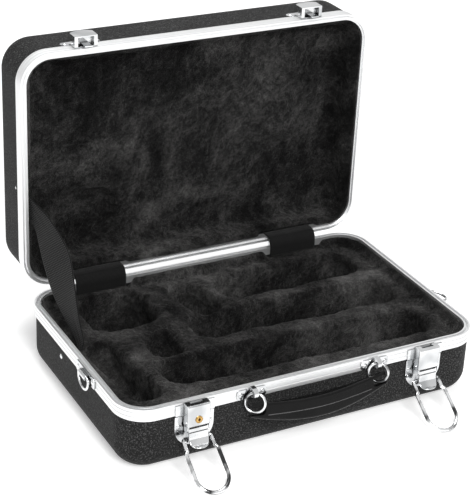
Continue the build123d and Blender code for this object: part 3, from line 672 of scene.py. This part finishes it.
@dataclass
class PlushLining(Maker):
    """Plush cloth over a moulded form, made from the form's own solid."""

    node: str
    body: str
    name: str
    rim: Rim
    weld: float = 0.01 * MM
    voxel: float = 1.8 * MM
    smoothing: int = 26
    pile_waves: tuple[tuple[float, float], ...] = (  # features in a metre, and their height
        (27.0, 2.2 * MM), (110.0, 1.1 * MM), (280.0, 0.8 * MM),
    )
    hidden: float = 4.2 * MM  # inset of the shell's wall
    skirt: float = 6.35 * MM  # inset of the valance's inner face
    skirt_depth: float = 9.2 * MM
    roll: float = 9.0 * MM  # width of the soft edge
    rise: float = 8.6 * MM
    rise_depth: float = 20.0 * MM  # down to where nothing rises
    rise_fade: float = 8.0 * MM
    wall_fade: float = 4.0 * MM  # where the pile grows from the hidden wall
    under_fade: float = 5.0 * MM  # and from the hidden underside
    cover_half: float = 30.0 * MM
    cover_inset: float = 7.9 * MM
    cover_depth: float = 10.6 * MM
    covered: float = 0.99

    def form(self) -> bpy.types.Object:
        """Copy the solid, remesh it evenly and soften its edges."""
        bm = bmesh.new()
        bm.from_mesh(frame["nodes"][self.node].data)
        bmesh.ops.remove_doubles(bm, verts=bm.verts, dist=self.weld)
        piece = object_of(self.name, bm)
        remesh = piece.modifiers.new("remesh", "REMESH")
        remesh.mode = "VOXEL"
        remesh.voxel_size = self.voxel
        soften = piece.modifiers.new("soften", "SMOOTH")
        soften.iterations = self.smoothing
        applied(piece)
        return piece

    def at_cover(self, point: Vector) -> float:
        """Share of a point that lies behind a hinge's cloth cover."""
        beside = abs(abs(point.x) - HINGE_X) - self.cover_half
        behind = (point - self.rim.middle).dot(self.rim.across)
        return eased(1 - beside / self.roll) if behind > 0 else 0.0

    def edge(self, point: Vector) -> Vector:
        """Raise a point of the lining's edge to the valance's rim."""
        depth = self.rim.depth(point)
        inset, _ = self.rim.inset(point)
        near = eased(1 - (inset - self.skirt) / self.roll)
        upper = eased((self.rise_depth - depth) / self.rise_fade)
        return point - self.rim.down * (self.rise * near * upper * (1 - self.at_cover(point)))

    def kept(self, point: Vector) -> Vector:
        """Keep a point off the shell, the valance and the hinges' covers."""
        inset, inward = self.rim.inset(point)
        depth = self.rim.depth(point)
        clear = self.skirt if depth < self.skirt_depth else self.hidden
        behind = self.at_cover(point) > self.covered
        if behind and inset < self.cover_inset and depth < self.cover_depth:
            point = point + self.rim.down * (self.cover_depth - depth)
        return point + inward * max(0.0, clear - inset)

    def pile(self, point: Vector) -> float:
        """Height of the pile over the form at a point."""
        return sum(noise.noise(point * often) * height for often, height in self.pile_waves)

    def share(self, point: Vector, far: float) -> float:
        """Share of the pile's height at a point, 0 at the hidden faces.

        Args:
            point: Any point.
            far: Depth of the lining's underside.

        Returns:
            The share.
        """
        inset, _ = self.rim.inset(point)
        above = far - self.rim.depth(point)
        return eased((inset - self.hidden) / self.wall_fade) * eased(above / self.under_fade)

    def build(self, finishes: Finishes) -> bpy.types.Object:
        """Make the lining, dress it and fasten it to its body."""
        piece = self.form()
        bm = bmesh.new()
        bm.from_mesh(piece.data)
        for vert in bm.verts:
            vert.co = self.edge(vert.co)
        bm.normal_update()
        far = max(self.rim.depth(corner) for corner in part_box(self.node))
        moved = []
        for vert in bm.verts:
            lift = self.pile(vert.co) * self.share(vert.co, far)
            moved.append(self.kept(vert.co + vert.normal * lift))
        for vert, place in zip(bm.verts, moved):
            vert.co = place
        smoothed(bm)
        bm.to_mesh(piece.data)
        bm.free()
        finishes.dress(piece, Slot.PLUSH)
        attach(piece, self.body)
        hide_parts(self.node)
        return piece


@dataclass(frozen=True)
class Station:
    """Place, width and turn of the stay at one point of its length, in millimetres and degrees."""

    place: Triple
    width: float
    turn: float


@dataclass
class StayStrap(Maker):
    """Webbing stay, gathered under a rivet at each end, slack and turned between them."""

    stations: tuple[Station, ...] = (
        Station((-190.3, 38.0, 41.8), 14.0, 0.0),
        Station((-190.3, 32.0, 47.0), 14.0, 0.0),
        Station((-186.0, 22.0, 54.5), 14.0, 0.0),
        Station((-180.5, 16.0, 64.0), 15.0, 2.0),
        Station((-178.5, 36.0, 78.0), 26.0, 5.0),
        Station((-177.5, 51.0, 89.0), 34.0, 10.0),
        Station((-177.0, 67.5, 104.0), 38.0, 18.0),
        Station((-177.0, 86.5, 127.0), 38.0, 24.0),
        Station((-180.5, 112.0, 152.0), 30.0, 13.0),
        Station((-186.3, 132.0, 166.0), 20.0, 4.0),
        Station((-190.2, 150.0, 178.0), 18.0, 0.0),
        Station((-190.2, 156.5, 183.0), 18.0, 0.0),
    )
    width: float = 38.0 * MM
    thickness: float = 1.2 * MM
    pleat: float = 1.1 * MM
    pleats: int = 3
    gather: float = 1.4  # share of the pleats' depth for a share of the width lost
    filled: float = 0.75  # share of the flat strap's area that the gathered one keeps
    columns: int = 24
    rows: int = 130
    fastened: tuple[int, int] = (3, 9)  # stations where the free stretch starts and ends

    @property
    def places(self) -> list[Vector]:
        """Stations' places in metres."""
        return [Vector(station.place) * MM for station in self.stations]

    def spline(self, values: Sequence[Union[float, Vector]], share: float) -> Union[float, Vector]:
        """Smooth curve through one value for each station.

        Args:
            values: The stations' values.
            share: From 0 at the first to 1 at the last.

        Returns:
            The value there.
        """
        last = len(values) - 1
        index = min(int(share * last), last - 1)
        part = share * last - index
        before, after = values[max(index - 1, 0)], values[min(index + 2, last)]
        start, end = values[index], values[index + 1]
        slope_in, slope_out = (end - before) * 0.5, (after - start) * 0.5
        square, cube = part * part, part * part * part
        return (
            start * (2 * cube - 3 * square + 1) + slope_in * (cube - 2 * square + part)
            + end * (3 * square - 2 * cube) + slope_out * (cube - square)
        )

    def point(self, across: float, share: float) -> Vector:
        """Place of a point of the flat strap.

        Args:
            across: From -0.5 to 0.5 of its width.
            share: From 0 at its lower end to 1 at its upper end.

        Returns:
            The point.
        """
        middle = self.spline(self.places, share)
        line = (self.places[-2] - self.places[1]).normalized()
        width = self.spline([station.width for station in self.stations], share) * MM
        turn = self.spline([station.turn for station in self.stations], share)
        side = Matrix.Rotation(math.radians(turn), 3, line) @ line.cross(Vector((1, 0, 0)))
        gathered = eased(self.gather * (1 - width / self.width))
        bow = 0.5 * self.pleat * gathered * (1 - math.cos(across * self.pleats * math.tau))
        return middle + side * (across * width) + Vector((bow, 0, 0))

    def runs(self) -> list[float]:
        """Length of the strap up to each of its rows."""
        steps = [self.point(0.0, row / self.rows) for row in range(self.rows + 1)]
        lengths = [0.0]
        for start, end in zip(steps, steps[1:]):
            lengths.append(lengths[-1] + (end - start).length)
        return lengths

    def build(self, finishes: Finishes) -> bpy.types.Object:
        """Make the strap and dress it."""
        bm = unit_grid(self.columns, self.rows)
        runs = self.runs()
        mapped(bm, self.width, lambda share: runs[round(share * self.rows)])
        for vert in bm.verts:
            vert.co = self.point(vert.co.x, vert.co.y + 0.5)
        piece = strip_of("stay_webbing", bm, self.thickness)
        finishes.dress(piece, Slot.WEBBING)
        first, last = self.fastened
        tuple(self.places[first])
        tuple(self.places[last])
        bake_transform(piece)
        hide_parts("lid_stay_strap")
        return piece


@dataclass
class HingeCover(Maker):
    """Cloth strip that hides one hinge from inside."""

    side: str
    x: float
    width: float = 56.0 * MM
    thickness: float = 0.8 * MM
    profile: tuple[tuple[float, float], ...] = (  # Y and Z in millimetres, from the insert to the liner
        (118.3, 60.3), (118.3, 66.0), (118.35, 71.2), (119.2, 74.6),
        (121.4, 78.4), (124.2, 80.3), (127.1, 80.7), (134.8, 80.7),
    )
    fastened: tuple[int, int] = (1, 6)  # points of the profile where the free stretch starts and ends
    slack: float = 0.35 * MM
    wrinkles: Triple = (5.0, 2.0, 30.0)  # over its width, over its length and from hinge to hinge
    columns: int = 36
    rows: int = 28

    def corner(self, index: int) -> Triple:
        """Point of the profile in metres, at the strip's middle."""
        y, z = self.profile[index]
        return (self.x, y * MM, z * MM)

    def steps(self) -> list[tuple[Vector, Vector, float]]:
        """Start, end and length of each of the profile's lines, with X left at 0."""
        points = [Vector((0, y, z)) * MM for y, z in self.profile]
        return [(start, end, (end - start).length) for start, end in zip(points, points[1:])]

    def point(self, along: float) -> Vector:
        """Place on the strip's section at a share of its length.

        Args:
            along: From 0 at the insert to 1 at the liner.

        Returns:
            The point, with X left at 0.
        """
        steps = self.steps()
        left = along * sum(step for _, _, step in steps)
        for start, end, step in steps:
            if left <= step:
                return start.lerp(end, left / step)
            left -= step
        return steps[-1][1]

    def build(self, finishes: Finishes) -> bpy.types.Object:
        """Make the strip and dress it."""
        lines = zip(self.profile, self.profile[1:])
        total = sum((Vector(end) - Vector(start)).length for start, end in lines) * MM
        bm = unit_grid(self.columns, self.rows)
        mapped(bm, self.width, lambda share: share * total)
        over, down, apart = self.wrinkles
        for vert in bm.verts:
            across, along = vert.co.x, vert.co.y + 0.5
            wrinkle = noise.noise(Vector((across * over, along * down, self.x * apart)))
            slack = abs(self.slack * math.sin(math.pi * along) * wrinkle)
            vert.co = self.point(along) + Vector((self.x + across * self.width, -slack, slack))
        piece = strip_of(f"hinge_{self.side}_cloth", bm, self.thickness)
        finishes.dress(piece, Slot.CLOTH)
        first, last = self.fastened
        self.corner(first)
        self.corner(last)
        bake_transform(piece)
        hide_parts(f"hinge_{self.side}_cover")
        return piece


@dataclass
class GripSeam(Maker):
    """Raised parting line along the front of the moulded grip."""

    half_length: float = 58.0 * MM
    width: float = 0.9 * MM
    height: float = 0.5 * MM
    sunk: float = 0.05 * MM
    level: float = 0.42  # share of the grip's height
    drop: float = 1.0 * MM
    rise: float = 3.4 * MM  # of its ends
    lean: float = math.radians(18.0)
    ends: float = 14.0  # how soon its height is full, from either end
    reach: float = 30.0 * MM  # out from the grip, where the rays start
    columns: int = 90
    rows: int = 6

    def build(self, finishes: Finishes) -> bpy.types.Object:
        """Make the line on the grip's own surface and fasten it to the grip."""
        grip = bmesh.new()
        grip.from_mesh(frame["nodes"]["handle_grip"].data)
        tree = BVHTree.FromBMesh(grip)
        grip.free()
        low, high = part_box("handle_grip")
        inward = Vector((0, math.cos(self.lean), -math.sin(self.lean)))
        up = Vector((0, math.sin(self.lean), math.cos(self.lean)))
        middle_y = (low.y + high.y) / 2
        base = low.z + self.level * (high.z - low.z) - self.drop
        bm = unit_grid(self.columns, self.rows)
        stray = []
        for vert in bm.verts:
            across = vert.co.x * 2 * self.half_length
            lift = vert.co.y
            level = base + self.rise * (across / self.half_length) ** 2
            origin = Vector((across, middle_y, level)) + up * (lift * self.width) - inward * self.reach
            hit, _, _, _ = tree.ray_cast(origin, inward)
            if hit is None:
                stray.append(vert)
                continue
            taper = min(1.0, (0.5 - abs(vert.co.x)) * self.ends)
            vert.co = hit - inward * (math.cos(math.pi * lift) * self.height * taper - self.sunk)
        bmesh.ops.delete(bm, geom=stray, context="VERTS")
        bmesh.ops.recalc_face_normals(bm, faces=bm.faces)
        smoothed(bm)
        piece = object_of("grip_parting_line", bm)
        finishes.dress(piece, Slot.GRIP)
        # lighter vinyl painted on the line as its highlight
        piece.material_slots[0].material = finishes.painted_highlight_seam
        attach(piece, "grip")
        return piece


@dataclass
class LeverLip(Maker):
    """Half-round curled lip over the tip of a latch's lever."""

    side: str
    half_width: float = 9.8 * MM
    thickness: float = 0.8 * MM
    radius: float = 8.0 * MM
    turn: float = math.radians(100.0)
    straight: float = 4.5 * MM
    tip: float = 0.0004  # least square of the width's share, at the very tip
    sheet: float = 1.2 * MM  # of the solid lever
    pin_to_face: float = 2.6 * MM  # from the pin's axis out to the lever's sheet
    cheek: float = 7.5 * MM  # from the pin's axis down to where the lip starts to curl
    columns: int = 24
    rows: int = 44

    @property
    def total(self) -> float:
        """Length of the lip down its face and round its curl."""
        return self.straight + self.radius * self.turn

    def point(self, across: float, along: float) -> Vector:
        """Place of a point of the lip.

        Args:
            across: From -1 to 1 of its half width.
            along: Distance down its face from the top edge.

        Returns:
            The point, from the middle of the curl.
        """
        beyond = max(0.0, along - self.total + self.half_width) / self.half_width
        width = self.half_width * math.sqrt(max(self.tip, 1 - beyond * beyond))
        angle = max(0.0, along - self.straight) / self.radius
        rise = max(0.0, self.straight - along)
        return Vector((across * width, self.radius * math.cos(angle), rise - self.radius * math.sin(angle)))

    def build(self, finishes: Finishes) -> bpy.types.Object:
        """Make the lip against the lever's face and fasten it to the lever."""
        low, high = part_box(f"latch_{self.side}_lever")
        pin_low, pin_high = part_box(f"latch_{self.side}_lever_pin")
        pin = (pin_low + pin_high) / 2
        face = pin.y - self.pin_to_face - self.sheet / 2 - self.thickness / 2
        middle = Vector(((low.x + high.x) / 2, face - self.radius, pin.z - self.cheek))
        bm = unit_grid(self.columns, self.rows)
        for vert in bm.verts:
            vert.co = middle + self.point(vert.co.x * 2, (0.5 - vert.co.y) * self.total)
        piece = strip_of(f"latch_{self.side}_lip", bm, self.thickness)
        finishes.dress(piece, Slot.PLATED_STEEL)
        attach(piece, f"lever_{self.side}")
        return piece


# ---- studio --------------------------------------------------------------------------------------
@dataclass(frozen=True)
class Lamp:
    """Square lamp that hangs at one place and points at another, with its side and its power in watts."""

    name: str
    place: Triple
    target: Triple
    size: float
    power: float

    def build(self) -> None:
        """Hang the lamp."""
        data = bpy.data.lights.new(self.name, "AREA")
        data.shape = "SQUARE"
        data.size = self.size
        data.energy = self.power
        lamp = bpy.data.objects.new(self.name, data)
        aim = Vector(self.target) - Vector(self.place)
        turn = aim.to_track_quat("-Z", "Y").to_matrix().to_4x4()
        lamp.matrix_world = Matrix.Translation(Vector(self.place)) @ turn
        bpy.context.scene.collection.objects.link(lamp)


@dataclass(frozen=True)
class Studio:
    """Pale floor, soft lamps, world and camera."""

    camera_place: Triple = (-0.69569, -1.22145, 0.85193)
    right: Triple = (0.88515, -0.46333, 0.04290)
    up: Triple = (0.17601, 0.41874, 0.89088)
    forward: Triple = (0.43073, 0.78101, -0.45220)
    sensor: float = 36.0
    lens: float = 114.65
    shift: tuple[float, float] = (0.00026, 0.00038)
    clip: tuple[float, float] = (0.05, 50.0)
    floor_half: float = 12.0
    floor_drop: float = 0.2 * MM
    floor_level: float = 0.92
    floor_lift: float = 0.42
    world_level: float = 0.4
    lamps: tuple[Lamp, ...] = (
        Lamp("key", place=(0.1, 0.4, 2.5), target=(0.0, 0.0, 0.1), size=1.3, power=30.0),
        Lamp("front", place=(-0.5, -2.0, 1.7), target=(0.05, 0.15, 0.22), size=0.9, power=50.0),
    )

    def camera(self) -> None:
        """Place the camera."""
        data = bpy.data.cameras.new("camera")
        data.sensor_width = self.sensor
        data.lens = self.lens
        data.shift_x, data.shift_y = self.shift
        data.clip_start, data.clip_end = self.clip
        camera = bpy.data.objects.new("camera", data)
        turn = Matrix((Vector(self.right), Vector(self.up), -Vector(self.forward))).transposed()
        camera.matrix_world = Matrix.Translation(Vector(self.camera_place)) @ turn.to_4x4()
        bpy.context.scene.collection.objects.link(camera)
        bpy.context.scene.camera = camera

    def floor(self) -> None:
        """Lay the floor just under the case."""
        bm = bmesh.new()
        bmesh.ops.create_grid(bm, x_segments=1, y_segments=1, size=self.floor_half)
        bmesh.ops.translate(bm, verts=bm.verts, vec=(0, 0, -self.floor_drop))
        floor = object_of("floor", bm)
        material = bpy.data.materials.new("pale_floor")
        graph = NodeGraph(material)
        matt = graph.add("ShaderNodeBsdfDiffuse", {"Color": grey(self.floor_level)})
        lift = graph.math("MULTIPLY", graph.seen(), self.floor_lift)
        glow = graph.add("ShaderNodeEmission", {"Strength": lift})
        both = graph.add("ShaderNodeAddShader", {0: matt.outputs[0], 1: glow.outputs[0]})
        graph.add("ShaderNodeOutputMaterial", {"Surface": both.outputs[0]})
        floor.data.materials.append(material)

    def world(self) -> None:
        """Fill the scene with even light from a white background."""
        world = bpy.data.worlds.new("studio")
        bpy.context.scene.world = world
        graph = NodeGraph(world)
        strength = graph.span(graph.seen(), self.world_level, 1.0)
        light = graph.add("ShaderNodeBackground", {"Strength": strength})
        graph.add("ShaderNodeOutputWorld", {"Surface": light.outputs[0]})

    def build(self) -> None:
        """Set up the whole studio."""
        self.floor()
        self.world()
        for lamp in self.lamps:
            lamp.build()
        self.camera()
        bpy.context.scene.view_settings.view_transform = "Standard"


# ---- the case ------------------------------------------------------------------------------------
def dress_frame(finishes: Finishes) -> None:
    """Give every rigid node its finish."""
    for part in frame["record"]["subparts"]:
        node = part["node"]
        finishes.dress(frame["nodes"][node], Slot(part["material_slot"]))
        if any(word in node for word in WIRE_WORDS):
            finishes.dress_wire(frame["nodes"][node])


def makers() -> Iterable[Maker]:
    """Makers of every piece that is made here, in order."""
    low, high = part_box("base_valance")
    half = ((high.x - low.x) / 2, (high.y - low.y) / 2)
    base_rim = Rim(Vector((0, 1, 0)), Vector((0, 0, -1)), Vector((0, 0, high.z)), half)
    yield PlushLining("base_insert", "base", "insert_plush", base_rim)
    low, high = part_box("lid_valance")
    middle = Vector((0, low.y + TONGUE, (low.z + high.z) / 2))
    lid_rim = Rim(Vector((0, 0, -1)), Vector((0, 1, 0)), middle, half)
    yield PlushLining("lid_liner", "lid", "lid_plush", lid_rim)
    yield StayStrap()
    yield HingeCover("left", -HINGE_X)
    yield HingeCover("right", HINGE_X)
    yield GripSeam()
    yield LeverLip("left")
    yield LeverLip("right")


def main() -> None:
    """Build the looks round the frame."""
    logging.basicConfig(level=logging.INFO)
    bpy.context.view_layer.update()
    finishes = Finishes()
    dress_frame(finishes)
    for maker in makers():
        piece = maker.build(finishes)
        LOG.info("%s: %d faces", piece.name, len(piece.data.polygons))
    Studio().build()


if __name__ == "__main__":
    main()
